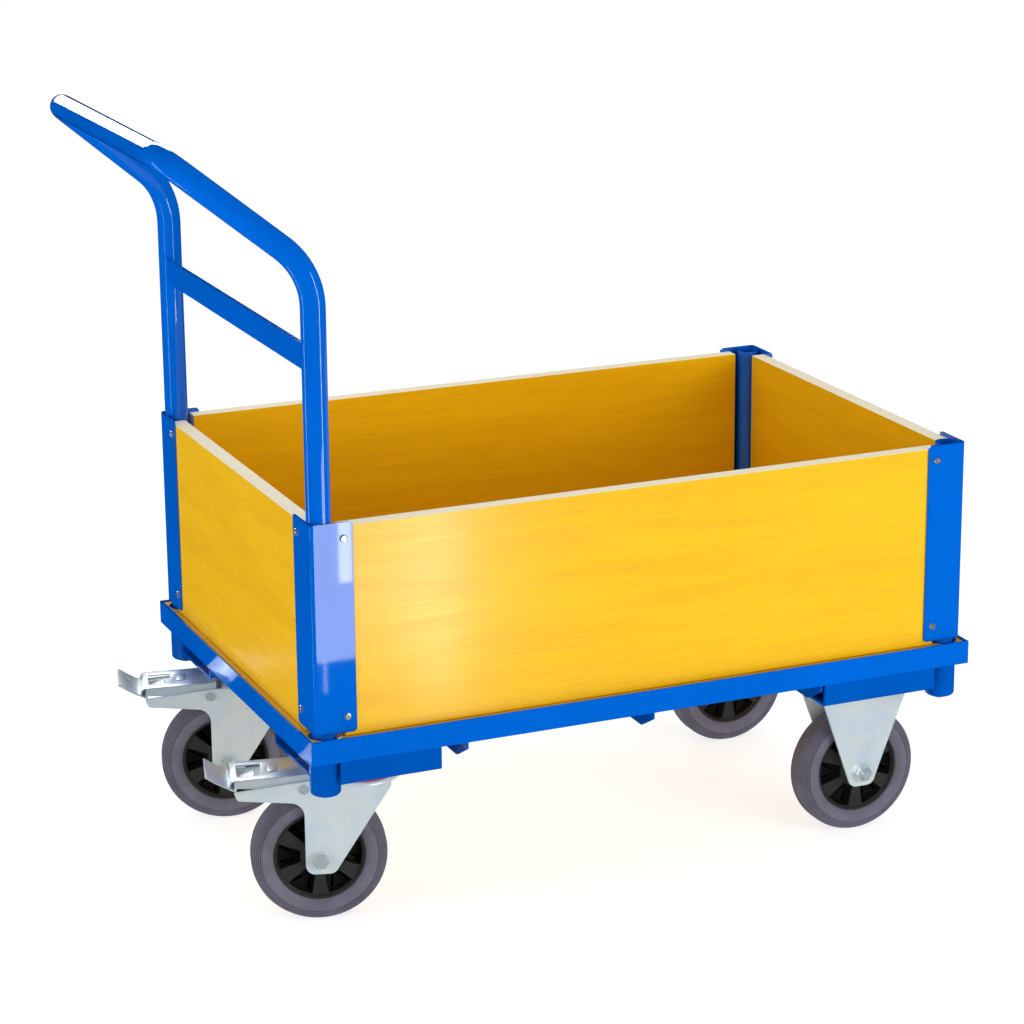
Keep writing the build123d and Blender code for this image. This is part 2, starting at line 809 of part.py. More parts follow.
def brake_pedal():
    """Pressed lever: a channel between the arms, with a raised foot plate at its tip."""
    half = pedal_width / 2
    back = pedal_pin_x + pedal_back
    front = 2 - arm_reach
    tip = front - foot_length
    top_back = crown_top + pedal_rise
    top_front = crown_top + 1
    step = crown_top - pedal_step
    tip_z = crown_top + foot_rise
    inner_back = pedal_pin_x - 2 * pedal_wall
    hollow_back = back + pedal_hollow_reach
    with BuildPart() as pedal:
        with BuildSketch(Plane.XZ.offset(-half)):
            Polygon(
                (back, top_back),
                (front, top_front),
                (front - 1, step),
                (tip, tip_z),
                (tip + 1, tip_z - pedal_sheet),
                (front + 1, step - pedal_sheet),
                (front + pedal_sheet, step + 2),
                (front + pedal_hole_length, step + 1),
                (inner_back, pedal_pin_z - 2),
                (pedal_pin_x - pedal_wall, pedal_pin_z - pedal_wall),
                (pedal_pin_x + pedal_wall, pedal_pin_z - pedal_wall),
                (back, pedal_pin_z),
                align=None,
            )
        extrude(amount=pedal_width)
        with BuildSketch(Plane.XZ.offset(-half + pedal_sheet)):
            Polygon(
                (hollow_back, top_back - 1),
                (front + pedal_sheet, top_front - pedal_sheet),
                (front + pedal_sheet, wheel_radius),
                (hollow_back, wheel_radius),
                align=None,
            )
        extrude(amount=pedal_width - 2 * pedal_sheet, mode=Mode.SUBTRACT)
        with Locations((pedal_pin_x, 0, pedal_pin_z)):
            Cylinder(
                pedal_pin_radius + running_gap, 2 * pedal_width, rotation=(90, 0, 0), mode=Mode.SUBTRACT
            )
        with Locations((front + pedal_hole_from_step, 0, top_front)):
            Box(pedal_hole_length, pedal_hole_width, 3 * pedal_step, mode=Mode.SUBTRACT)
        with BuildSketch():
            RectangleRounded(-2 * tip, pedal_width, pedal_corner_radius)
        extrude(amount=2 * crown_top, mode=Mode.INTERSECT)
        with Locations((front + pedal_boss_from_step, 0, top_front + 2)):
            Box(
                pedal_boss_length,
                pedal_boss_width,
                pedal_boss_height,
                align=(Align.CENTER, Align.CENTER, Align.MIN),
            )
    return pedal.part


def brake_shoe():
    """Rubber block riveted under the pedal, which the tyre meets when the pedal goes down."""
    near, far = pedal_pin_x - shoe_near_pin, pedal_pin_x - shoe_far_pin
    with BuildPart() as shoe:
        with BuildSketch(Plane.XZ.offset(-shoe_width / 2)):
            Polygon(
                (far, crown_top + 0.5),
                (near, crown_top + 1.6),
                (near, crown_top - 21.5),
                (far, crown_top - 23.5),
                align=None,
            )
        extrude(amount=shoe_width)
    return shoe.part


def pedal_pin():
    """Rivet across both arms, on which the pedal turns."""
    head_middle = fork_half + rivet_head_height / 2
    with BuildPart() as pin:
        with Locations((pedal_pin_x, 0, pedal_pin_z)):
            Cylinder(pedal_pin_radius, 2 * fork_half, rotation=(90, 0, 0))
            with Locations(*[(0, side * head_middle, 0) for side in (-1, 1)]):
                Cylinder(rivet_head_radius, rivet_head_height, rotation=(90, 0, 0))
    return pin.part


turned_places = {
    name: place * Location((0, 0, 0), (0, 0, steer_angle)) for name, place in swivel_places.items()
}
at_axle = Location((-trail, 0, 0))
swivel_pieces = {
    "fork": swivel_fork(),
    "bearing_balls": bearing_balls(),
    "pedal_pin": pedal_pin(),
    "brake_pedal": brake_pedal(),
    "brake_shoe": brake_shoe(),
    "axle_bolt": placed(axle_head, at_axle * head_front),
    "axle_nut": placed(axle_nut_part, at_axle * nut_back),
    "axle_sleeve": placed(axle_sleeve, at_axle * wheel_centre),
}
for side, place in turned_places.items():
    for name, piece in swivel_pieces.items():
        save(placed(piece, place), f"swivel_{side}_{name}")
    save_wheel(f"swivel_{side}", place * at_axle)
save(placed(swivel_plate(), *swivel_places.values()), "swivel_plates")
save(placed(dust_seal(), *swivel_places.values()), "dust_seals")
save(placed(kingpin(), *swivel_places.values()), "kingpins")

# ---------------------------------------------------------------- fixed castors
flare = plate_length / 2
fixed_plan = [
    (-flare, fork_half + fixed_leg_flare),
    (-fixed_leg_flat, fork_half),
    (fixed_leg_flat, fork_half),
    (flare, fork_half + fixed_leg_flare),
]
fixed_outline = [
    (flare - 1, frame_bottom, 1),
    (flare - 1, plate_bottom - fixed_leg_top, 4),
    (fixed_leg_foot, wheel_radius - leg_below_axle, leg_corner_radius),
    (-fixed_leg_foot, wheel_radius - leg_below_axle, leg_corner_radius),
    (-flare + 1, plate_bottom - fixed_leg_top, 4),
    (-flare + 1, frame_bottom, 1),
]
with BuildPart() as fixed_fork:
    add(fork_sides(fixed_plan, fixed_outline))
    add(castor_plate())
    with Locations((0, 0, wheel_radius)):
        Cylinder(axle_radius, 4 * fork_half, rotation=(90, 0, 0), mode=Mode.SUBTRACT)
for side, place in fixed_places.items():
    save(placed(fixed_fork.part, place), f"fixed_{side}_fork")
    save_wheel(f"fixed_{side}", place)
save(placed(axle_head, *[place * head_back for place in fixed_places.values()]), "fixed_axle_bolts")
save(placed(axle_nut_part, *[place * nut_front for place in fixed_places.values()]), "fixed_axle_nuts")
fixed_sleeves = placed(axle_sleeve, *[place * wheel_centre for place in fixed_places.values()])
save(fixed_sleeves, "fixed_axle_sleeves")
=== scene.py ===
# %% [markdown]
# # A blue platform trolley with board walls
# The steel frame, wheels and castors come from the CAD model as finished meshes. This lesson loads them,
# gives every one a finish, and replaces the pieces whose real surface has more shape than the CAD holds.
# Everything is in metres, in the CAD model's own frame: X along the trolley, Y across it, Z up.

# %% Load the frame
import json
from math import atan2, cos, pi, radians, sin

import bmesh
import bpy
from mathutils import Matrix, Vector

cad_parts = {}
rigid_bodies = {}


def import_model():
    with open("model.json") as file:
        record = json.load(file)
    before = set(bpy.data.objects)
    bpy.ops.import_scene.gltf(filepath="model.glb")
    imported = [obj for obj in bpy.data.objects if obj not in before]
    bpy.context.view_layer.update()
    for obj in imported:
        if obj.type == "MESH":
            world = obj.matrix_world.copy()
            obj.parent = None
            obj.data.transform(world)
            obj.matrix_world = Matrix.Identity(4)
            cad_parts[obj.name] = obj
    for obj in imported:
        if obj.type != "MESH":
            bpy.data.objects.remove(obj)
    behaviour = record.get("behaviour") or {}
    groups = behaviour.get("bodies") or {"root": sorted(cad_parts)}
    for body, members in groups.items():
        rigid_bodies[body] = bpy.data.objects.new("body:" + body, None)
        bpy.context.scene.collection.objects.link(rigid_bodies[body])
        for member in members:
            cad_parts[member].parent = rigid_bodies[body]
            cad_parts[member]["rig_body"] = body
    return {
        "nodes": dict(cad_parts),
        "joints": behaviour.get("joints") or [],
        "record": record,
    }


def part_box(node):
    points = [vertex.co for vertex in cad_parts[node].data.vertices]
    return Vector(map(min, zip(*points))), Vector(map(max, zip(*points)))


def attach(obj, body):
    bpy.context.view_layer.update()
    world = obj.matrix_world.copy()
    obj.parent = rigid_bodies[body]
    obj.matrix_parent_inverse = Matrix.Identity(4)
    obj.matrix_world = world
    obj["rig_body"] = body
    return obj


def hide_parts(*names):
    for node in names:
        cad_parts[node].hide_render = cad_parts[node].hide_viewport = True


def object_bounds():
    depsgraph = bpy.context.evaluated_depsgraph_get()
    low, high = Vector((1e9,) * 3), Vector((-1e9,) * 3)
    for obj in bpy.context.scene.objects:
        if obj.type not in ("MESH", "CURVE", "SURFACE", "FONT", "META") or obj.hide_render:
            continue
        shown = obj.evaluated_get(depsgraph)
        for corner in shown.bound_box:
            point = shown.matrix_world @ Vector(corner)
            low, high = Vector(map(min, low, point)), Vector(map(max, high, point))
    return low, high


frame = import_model()
cad_low, cad_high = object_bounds()
joints = {joint["name"]: joint for joint in frame["joints"]}
slots = {part["node"]: part["material_slot"] for part in frame["record"]["subparts"]}
MM = 0.001
print("CAD nodes:", len(frame["nodes"]), "size:", [round(v, 3) for v in cad_high - cad_low])

# %% [markdown]
# ## Camera
# A catalogue view looks down a little on the push end's front corner. Such pictures are taken from far
# away with a long lens, so that the long sides stay nearly parallel. The camera is turned with a matrix
# made from its own three axes, which is easier to read than three Euler angles.

# %% Camera
YAW, PITCH, ROLL = radians(23.19), radians(16.51), radians(-0.51)
SENSOR_WIDTH, LENS = 36, 111.53
FROM_DECK_MIDDLE = Vector((-1.61515, -3.62912, 1.60683))
forward = Vector((sin(YAW) * cos(PITCH), cos(YAW) * cos(PITCH), -sin(PITCH)))
level = Vector((cos(YAW), -sin(YAW), 0))
upright = level.cross(forward)
right = level * cos(ROLL) + upright * sin(ROLL)
up = upright * cos(ROLL) - level * sin(ROLL)

camera = bpy.data.objects.new("camera", bpy.data.cameras.new("camera"))
bpy.context.scene.collection.objects.link(camera)
camera.data.sensor_width = SENSOR_WIDTH
camera.data.lens = LENS
camera.data.clip_end = 100
camera_turn = Matrix((right, up, -forward)).transposed().to_4x4()
rail_low, rail_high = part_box("front_rail")
deck_middle = Vector(((rail_low.x + rail_high.x) / 2, 0, 0))
camera.matrix_world = Matrix.Translation(deck_middle + FROM_DECK_MIDDLE) @ camera_turn
bpy.context.scene.camera = camera
print("camera at", [round(v, 2) for v in camera.location])

# %% [markdown]
# ## Shader maths as expressions
# A material is a small calculation, so it reads best as one. `Wire` wraps an output socket: arithmetic on
# it adds Math nodes, and `node` adds any other node. Numbers alone are worked out by Python itself.


# %% Wire
class Wire:
    """An output of a material's nodes, which can be used in expressions."""

    def __init__(self, socket):
        self.socket = socket

    def node(self, kind, sockets, output=0, **settings):
        """Adds a node: its settings first, then the values or wires of its sockets."""
        tree = self.socket.id_data
        made = tree.nodes.new(kind)
        for key, value in settings.items():
            setattr(made, key, value)
        for key, value in sockets.items():
            if isinstance(value, Wire):
                tree.links.new(value.socket, made.inputs[key])
            else:
                made.inputs[key].default_value = value
        return Wire(made.outputs[output])

    def math(self, operation, *values):
        return self.node("ShaderNodeMath", dict(enumerate(values)), operation=operation)

    def __add__(self, other):
        return self.math("ADD", self, other)

    def __mul__(self, other):
        return self.math("MULTIPLY", self, other)

    __radd__ = __add__
    __rmul__ = __mul__


# %% Helpers for finishes
def begin(name, **constants):
    """A new material, its shader with the constants set, and the Object coordinates as a wire."""
    material = bpy.data.materials.new(name)
    material.use_nodes = True
    shader = material.node_tree.nodes["Principled BSDF"]
    for key, value in constants.items():
        shader.inputs[key.replace("_", " ")].default_value = value
    coordinates = material.node_tree.nodes.new("ShaderNodeTexCoord")
    return material, shader, Wire(coordinates.outputs["Object"])


def feed(shader, **wires):
    """Links wires into the shader's sockets."""
    for key, wire in wires.items():
        shader.id_data.links.new(wire.socket, shader.inputs[key.replace("_", " ")])


def stretch(where, x, y, z):
    return where.node("ShaderNodeVectorMath", {0: where, 1: (x, y, z)}, operation="MULTIPLY")


def noise(where, scale, detail=2.0, rough=0.5, twist=0.0):
    sockets = {"Vector": where, "Scale": scale, "Detail": detail, "Roughness": rough, "Distortion": twist}
    return where.node("ShaderNodeTexNoise", sockets)


def spread(wire, low, high, new_low=0.0, new_high=1.0):
    """Stretches the values from low to high over a new range, and clips what is outside."""
    sockets = {0: wire, 1: low, 2: high, 3: new_low, 4: new_high}
    return wire.node("ShaderNodeMapRange", sockets)


def blend(factor, first, second):
    """The first colour where the factor is 0, the second where it is 1."""
    first, second = [c if isinstance(c, Wire) else (*c, 1) for c in (first, second)]
    sockets = {0: factor, 6: first, 7: second}
    return factor.node("ShaderNodeMix", sockets, output=2, data_type="RGBA")


def soft_edges(where, radius):
    """Normals that round every sharp edge a little, as paint and punching do."""
    return where.node("ShaderNodeBevel", {"Radius": radius}, samples=4)


def bump(height, distance, strength=1.0, normal=None):
    sockets = {"Height": height, "Distance": distance, "Strength": strength}
    if normal:
        sockets["Normal"] = normal
    return height.node("ShaderNodeBump", sockets)


# %% [markdown]
# ## Blue powder coat
# The steel is coated in one thick glossy layer. Powder flows as it melts, so it keeps a faint orange peel
# and rounds off each sharp edge. A clear coat over a saturated base gives the crisp white highlights. The
# folded corner covers have softer edges. The parts under the deck get a darker blue: painted shade for
# where they sit set back under the rail, though their real coat is the same blue.

# %% Blue paint
BLUE = (0.0, 0.122, 0.62)
DEEP_BLUE = (0.0, 0.112, 0.57)
# The two darker blues are painted shade for the parts under the deck; their real coat is the same blue.
SHADE_PAINTED_BLUE = (0.0, 0.092, 0.47)
DEEP_SHADE_PAINTED_BLUE = (0.0, 0.080, 0.42)
PAINT_EDGE = 0.9 * MM
FOLD_EDGE = 4 * MM


def blue_paint(name, edge, light=BLUE, deep=DEEP_BLUE):
    coat = {"Coat_Weight": 1.0, "Coat_Roughness": 0.04, "Specular_IOR_Level": 0.0}
    material, shader, where = begin(name, **coat)
    cloud = noise(where, 7, 3)
    peel = noise(where, 420, 2)
    feed(
        shader,
        Base_Color=blend(spread(cloud, 0.35, 0.65), light, deep),
        Roughness=spread(noise(where, 60), 0.3, 0.7, 0.25, 0.29),
        Normal=bump(peel, 0.00004, 0.2, soft_edges(where, edge)),
    )
    return material


# %% [markdown]
# ## Beech laminate
# The walls are chipboard under a printed beech layer: long soft bands along the board, crossed by short
# fine pore dashes. Both are noise squeezed hard across the grain. The pattern runs along X on the long
# walls and the deck and along Y on the short walls, so one function makes all three.

# %% Beech laminate
BEECH_LIGHT = (0.93, 0.54, 0.004)
BEECH_DARK = (0.80, 0.43, 0.002)
PORE = (0.46, 0.21, 0.002)


def along_grain(where, along_x, length, across, height):
    """Squeezes the coordinates along the board, across its thickness and up its height."""
    return stretch(where, *((length, across) if along_x else (across, length)), height)


def beech(name, along_x):
    material, shader, where = begin(name, Specular_IOR_Level=0.35)
    bands = noise(stretch(where, 1, 1, 9), 3.2, 3, 0.55, 0.6)
    figure = noise(along_grain(where, along_x, 3, 9, 60), 2.5, 4, 0.6, 0.8)
    dashes = noise(along_grain(where, along_x, 5, 120, 230), 3, 2, 0.6)
    tone = blend(spread(bands, 0.3, 0.7) * 0.6 + spread(figure, 0.35, 0.7) * 0.4, BEECH_LIGHT, BEECH_DARK)
    pores = spread(dashes, 0.56, 0.74) * 0.32
    feed(
        shader,
        Base_Color=blend(pores, tone, PORE),
        Roughness=spread(figure, 0.3, 0.7, 0.26, 0.34),
        Normal=bump(dashes, 0.0001, 0.3),
    )
    return material


# %% [markdown]
# ## Bare chipboard edges
# The walls' top edges show the pressed chips. A Voronoi pattern gives flat chips of slightly different
# cream tones with a dark fleck here and there.

# %% Chipboard
CHIP_PALE = (1.0, 0.95, 0.74)
CHIP_TAN = (0.95, 0.84, 0.58)
CHIP_DARK = (0.55, 0.42, 0.24)


def chipboard():
    material, shader, where = begin("chipboard_edge", Roughness=0.8)
    sockets = {"Vector": stretch(where, 1, 1, 2.2), "Scale": 420.0, "Randomness": 1.0}
    chips = where.node("ShaderNodeTexVoronoi", sockets, output="Color")
    tone = chips.node("ShaderNodeSeparateColor", {0: chips})
    flecks = spread(noise(where, 700, 2), 0.66, 0.72)
    pale = blend(tone, CHIP_PALE, CHIP_TAN)
    feed(
        shader,
        Base_Color=blend(flecks * 0.7, pale, CHIP_DARK),
        Normal=bump(tone, 0.0003, 0.6),
    )
    return material


# %% [markdown]
# ## Zinc plate
# Bright zinc is a metal with a thin passivated film: mostly cool grey, with faint blue and straw clouds.
# Pressed sheet is duller than turned bolts and screws, so the roughness and the metal's share are settings.

# %% Zinc plate
ZINC_COOL = (0.80, 0.89, 0.90)
ZINC_BLUE = (0.68, 0.83, 0.94)
ZINC_STRAW = (0.90, 0.88, 0.74)


def zinc(name, rough_low, rough_high, edge, metallic):
    material, shader, where = begin(name, Metallic=metallic)
    clouds = noise(where, 24, 3, 0.6, 0.5)
    patches = noise(stretch(where, 1, 1, 0.6), 38, 3, 0.6)
    tint = blend(spread(clouds, 0.42, 0.66), ZINC_COOL, ZINC_BLUE)
    feed(
        shader,
        Base_Color=blend(spread(patches, 0.45, 0.8) * 0.35, tint, ZINC_STRAW),
        Roughness=spread(noise(where, 90, 3), 0.3, 0.7, rough_low, rough_high),
        Normal=soft_edges(where, edge),
    )
    return material


# %% [markdown]
# ## Rubber and moulded plastic
# The tyres are grey elastic rubber with a dusty sheen. The rims are black polyamide, moulded with a fine
# spark-eroded grain. Both get their grain from a bump of fine noise.

# %% Rubber and plastic
RIM_BLACK = (0.036, 0.035, 0.034), (0.026, 0.025, 0.025)
# The pocket black is far darker than the rim's own black: painted shade for the deep pockets of one
# moulding.
POCKET_PAINTED_SHADE = (0.006, 0.005, 0.005), (0.004, 0.004, 0.004)
BEARING_GREY = (0.35, 0.35, 0.36), (0.28, 0.28, 0.29)
TYRE_GREY = (0.150, 0.145, 0.195), (0.120, 0.116, 0.155)
SHOE_BLACK = (0.03, 0.03, 0.03), (0.02, 0.02, 0.02)
SEAL_RED = (0.55, 0.02, 0.035), (0.42, 0.015, 0.025)


def moulded(name, pale, dark, rough_low, rough_high, grain=900, height=0.00008, edge=0.0006):
    """A moulded surface: two close tones in soft clouds, and a fine grain."""
    material, shader, where = begin(name, Specular_IOR_Level=0.45)
    clouds = noise(where, 30, 3, 0.6)
    feed(
        shader,
        Base_Color=blend(spread(clouds, 0.35, 0.65), pale, dark),
        Roughness=spread(clouds, 0.3, 0.7, rough_low, rough_high),
        Normal=bump(noise(where, grain, 1), height, 0.5, soft_edges(where, edge)),
    )
    return material


# %% [markdown]
# ## A finish for every piece
# Each CAD node carries a slot name, and the slot says what the piece is made of. A node keeps its mesh and
# only gets a material. A few finishes have no slot of their own: they are variants for single pieces.

# %% Finishes by slot
finishes = {
    "blue_paint": blue_paint("blue_paint", PAINT_EDGE),
    "beech_board": beech("beech_long", True),
    "deck_board": beech("beech_deck", True),
    "zinc_sheet": zinc("zinc_sheet", 0.30, 0.42, 0.0008, 0.35),
    "zinc_hardware": zinc("zinc_hardware", 0.22, 0.32, 0.0005, 0.6),
    "screw_zinc": zinc("screw_zinc", 0.14, 0.22, 0.0003, 0.85),
    "rim_plastic": moulded("rim_plastic", *RIM_BLACK, 0.36, 0.48),
    "bearing_plastic": moulded("bearing_plastic", *BEARING_GREY, 0.4, 0.5),
    "tyre": moulded("tyre", *TYRE_GREY, 0.52, 0.66),
    "shoe_rubber": moulded("shoe_rubber", *SHOE_BLACK, 0.6, 0.7),
    "seal_red": moulded("seal_red", *SEAL_RED, 0.25, 0.35),
}
cover_paint = blue_paint("cover_paint", FOLD_EDGE)
# The same coat in the darker blues: painted shade on the parts set back under the deck.
under_paint = blue_paint("under_paint", PAINT_EDGE, SHADE_PAINTED_BLUE, DEEP_SHADE_PAINTED_BLUE)
tread_zinc = zinc("tread_zinc", 0.34, 0.46, 0.0005, 0.6)
beech_short = beech("beech_short", False)
# The rim's pockets get this near-black: painted shade in the deep recesses.
pocket_plastic = moulded("pocket_plastic", *POCKET_PAINTED_SHADE, 0.6, 0.7)
chips = chipboard()
# The parts under the deck that get the painted shade.
PAINTED_SHADE_PARTS = ("castor_brackets", "cross_members", "corner_sockets")


def paint(piece, *materials):
    piece.data.materials.clear()
    for material in materials:
        piece.data.materials.append(material)


for node, piece in frame["nodes"].items():
    finish = finishes[slots[node]]
    if node.endswith("corner_cover"):
        finish = cover_paint
    elif node in PAINTED_SHADE_PARTS:
        finish = under_paint
    paint(piece, finish)
print("finishes by slot:", len(finishes))

# %% [markdown]
# ## Modelling helpers
# Each new piece starts as a primitive and is shaped in edit mode. Operators act on whatever is selected,
# so every step first clears the selection and then picks faces or edges by their place or normal.


# %% Modelling helpers
SHARP = radians(30)
SMOOTH = radians(35)


def only(piece):
    bpy.ops.object.select_all(action="DESELECT")
    piece.select_set(True)
    bpy.context.view_layer.objects.active = piece


def named(name):
    """Names the primitive that was just added, and settles its place and turn into its mesh."""
    piece = bpy.context.object
    piece.name = piece.data.name = name
    only(piece)
    bpy.ops.object.transform_apply(location=True, rotation=True, scale=True)
    return piece


def pick_faces(piece, wanted):
    """Selects, in edit mode, just the faces that pass the test."""
    bpy.ops.mesh.select_mode(type="FACE")
    bpy.ops.mesh.select_all(action="DESELECT")
    mesh = bmesh.from_edit_mesh(piece.data)
    for face in mesh.faces:
        face.select_set(wanted(face))
    bmesh.update_edit_mesh(piece.data)


def round_edges(piece, width):
    """Rounds all sharp edges, then shades smoothly across the rest."""
    only(piece)
    bevel = piece.modifiers.new("rounding", "BEVEL")
    bevel.width = width
    bevel.segments = 2
    bevel.limit_method = "ANGLE"
    bevel.angle_limit = SHARP
    bpy.ops.object.modifier_apply(modifier=bevel.name)
    bpy.ops.object.shade_smooth_by_angle(angle=SMOOTH)


def place(piece, node, *materials):
    """Makes a finished piece stand for one CAD node, riding on its body with its slot."""
    paint(piece, *(materials or [finishes[slots[node]]]))
    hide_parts(node)
    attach(piece, frame["nodes"][node]["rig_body"])


def copy_of(original, name):
    """A second piece with a mesh of its own."""
    copy = original.copy()
    copy.data = original.data.copy()
    copy.name = copy.data.name = name
    bpy.context.scene.collection.objects.link(copy)
    return copy


# %% [markdown]
# ## Board walls
# Each wall is a plain board whose faces are laminate and whose edges are bare chipboard. The laminate is
# glued on and trimmed, so the corner between them is barely rounded. One cube per wall is bevelled, and
# its faces take the laminate or the chipboard by the way they look. Both ends stop short of the posts.

# %% Board walls
END_GAP = 6 * MM
BOARD_EDGE = 0.7 * MM


def wall(node, along_x):
    low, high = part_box(node)
    trim = Vector((END_GAP, 0, 0) if along_x else (0, END_GAP, 0))
    low, high = low + trim, high - trim
    bpy.ops.mesh.primitive_cube_add(size=1, location=(low + high) / 2, scale=high - low)
    board = named(node.replace("panel", "board"))
    bpy.ops.object.mode_set(mode="EDIT")
    bpy.ops.mesh.select_all(action="SELECT")
    bpy.ops.mesh.bevel(offset=BOARD_EDGE, segments=2, affect="EDGES")
    bpy.ops.object.mode_set(mode="OBJECT")
    place(board, node, finishes["beech_board"] if along_x else beech_short, chips)
    thin = 1 if along_x else 0
    for face in board.data.polygons:
        face.material_index = 0 if abs(face.normal[thin]) > 0.9 else 1


for node, along_x in (
    ("front_panel", True), ("back_panel", True), ("push_end_panel", False), ("far_end_panel", False)
):
    wall(node, along_x)
print("walls made")

# %% [markdown]
# ## Turned pieces
# A wheel is the same all round, and so is a tyre. A cylinder's two end faces are inset again and again,
# each time a little inwards and a little out or back. That draws the whole profile on both sides at once.


# %% Turning by insets
def turned(name, radius, width, steps, sides):
    """A disc on the Y axis whose end faces follow the steps: how far inwards, and how far outwards."""
    bpy.ops.mesh.primitive_cylinder_add(
        vertices=sides, radius=radius, depth=width, rotation=(pi / 2, 0, 0)
    )
    disc = named(name)
    bpy.ops.object.mode_set(mode="EDIT")
    pick_faces(disc, lambda face: abs(face.normal.y) > 0.9)
    for inwards, outwards in steps:
        bpy.ops.mesh.inset(thickness=inwards, depth=outwards)
    return disc


def open_bore(disc):
    """Deletes the two end faces that are still selected and joins their edges by an inner wall."""
    bpy.ops.mesh.delete(type="ONLY_FACE")
    bpy.ops.mesh.bridge_edge_loops()
    bpy.ops.mesh.select_all(action="SELECT")
    bpy.ops.mesh.normals_make_consistent(inside=False)
    bpy.ops.object.mode_set(mode="OBJECT")


# %% [markdown]
# ## Tyres
# The tread is flat and the shoulders are round, with fine rings moulded into them. The profile is a list
# of points on the shoulder's quarter ellipse, and each ring is a short dip between two of them.

# %% Tyre profile
tyre_low, tyre_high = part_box("fixed_front_tyre")
wheel_radius = (tyre_high.z - tyre_low.z) / 2
tyre_half = (tyre_high.y - tyre_low.y) / 2
SHOULDER_IN, SHOULDER_OUT = 14 * MM, 12 * MM
SEAT_RADIUS = 60 * MM
RING_DEPTH = 1.2 * MM
RING_ANGLES = (26, 37, 48, 59, 70)
WHEEL_SIDES = 96


def shoulder(angle, sink=0.0):
    """A point of the shoulder: its radius and its distance from the wheel's middle plane."""
    out, across = cos(radians(angle)), sin(radians(angle))
    radius = wheel_radius - SHOULDER_IN + (SHOULDER_IN - sink) * out
    return radius, tyre_half - SHOULDER_OUT + (SHOULDER_OUT - sink) * across


tyre_points = [shoulder(0), shoulder(12)]
for angle in RING_ANGLES:
    tyre_points += [shoulder(angle - 3), shoulder(angle - 1.5, RING_DEPTH)]
    tyre_points += [shoulder(angle + 1.5, RING_DEPTH), shoulder(angle + 3)]
tyre_points += [shoulder(80), shoulder(90)]
tyre_points += [(SEAT_RADIUS + 7 * MM, tyre_half - 0.3 * MM), (SEAT_RADIUS + 2 * MM, tyre_half - 2 * MM)]
tyre_points += [(SEAT_RADIUS, tyre_half - 4 * MM)]


def steps_between(points):
    return [(a[0] - b[0], b[1] - a[1]) for a, b in zip(points, points[1:])]


tyre = turned("tyre", wheel_radius, 2 * tyre_points[0][1], steps_between(tyre_points), WHEEL_SIDES)
open_bore(tyre)
bpy.ops.object.shade_smooth_by_angle(angle=radians(32))
print("tyre faces:", len(tyre.data.polygons))

# %% [markdown]
# ## Rims
# The rim is one moulding: an outer ring, a hub, and between them a disc with six deep pockets, which
# leaves six broad ribs. Insets draw the rings, and each pocket is a group of faces pushed in.

# %% Rim
RIM_SIDES = 72
POCKETS = 6
LIP_RADIUS = 55 * MM
HUB_RADIUS = 19 * MM
BORE_RADIUS = 14 * MM
rim_low, rim_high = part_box("fixed_front_rim")
hub_half = (rim_high.y - rim_low.y) / 2
RIM_HALF = 16 * MM
RIB_HALF = 12.5 * MM
POCKET_DEPTH = 11 * MM
POCKET_SHARE = 0.70
rim_points = [
    (SEAT_RADIUS, RIM_HALF - 0.8 * MM),
    (SEAT_RADIUS - 0.8 * MM, RIM_HALF),
    (LIP_RADIUS, RIM_HALF),
    (LIP_RADIUS - 1 * MM, RIB_HALF),
    (HUB_RADIUS + 4 * MM, RIB_HALF + 2 * MM),
    (HUB_RADIUS, RIB_HALF + 4 * MM),
    (HUB_RADIUS - 0.8 * MM, hub_half - 0.6 * MM),
    (HUB_RADIUS - 1.4 * MM, hub_half),
    (BORE_RADIUS, hub_half),
]
rim = turned("rim", SEAT_RADIUS, 2 * rim_points[0][1], steps_between(rim_points), RIM_SIDES)
open_bore(rim)


def in_pocket(face):
    """True for the disc's faces between two ribs."""
    spot = face.calc_center_median()
    radius = (spot.x ** 2 + spot.z ** 2) ** 0.5
    if not HUB_RADIUS + 4 * MM < radius < LIP_RADIUS - 1 * MM or abs(spot.y) < RIB_HALF - 1 * MM:
        return False
    share = (atan2(spot.z, spot.x) / (2 * pi) * POCKETS + 0.5) % 1
    return abs(share - 0.5) < POCKET_SHARE / 2


bpy.ops.object.mode_set(mode="EDIT")
pick_faces(rim, in_pocket)
bpy.ops.mesh.inset(thickness=1.2 * MM, depth=0)
bpy.ops.mesh.inset(thickness=1.6 * MM, depth=-POCKET_DEPTH)
bpy.ops.object.mode_set(mode="OBJECT")
round_edges(rim, 0.6 * MM)
# The sunk pocket faces take the near-black finish: painted shade in the recesses, as the rim is all one
# black plastic.
paint(rim, finishes["rim_plastic"], pocket_plastic)
for face in rim.data.polygons:
    radius = (face.center.x ** 2 + face.center.z ** 2) ** 0.5
    sunk = abs(face.center.y) < RIB_HALF - 1.5 * MM
    face.material_index = int(sunk and HUB_RADIUS < radius < LIP_RADIUS)
print("rim faces:", len(rim.data.polygons))


# %% [markdown]
# ## A wheel at each castor
# The tyre and the rim are modelled once, round the origin. Each castor gets its own copy, turned to its
# axle's direction and moved to its wheel's centre, which is the middle of the CAD tyre's box.

# %% Place the wheels
def wheel_matrix(castor):
    low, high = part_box(f"{castor}_tyre")
    kind, side = castor.split("_")
    axis = Vector(joints[f"{kind}_{side}_wheel_spin"]["axis"])
    return Matrix.Translation((low + high) / 2) @ Matrix.Rotation(atan2(-axis.x, axis.y), 4, "Z")


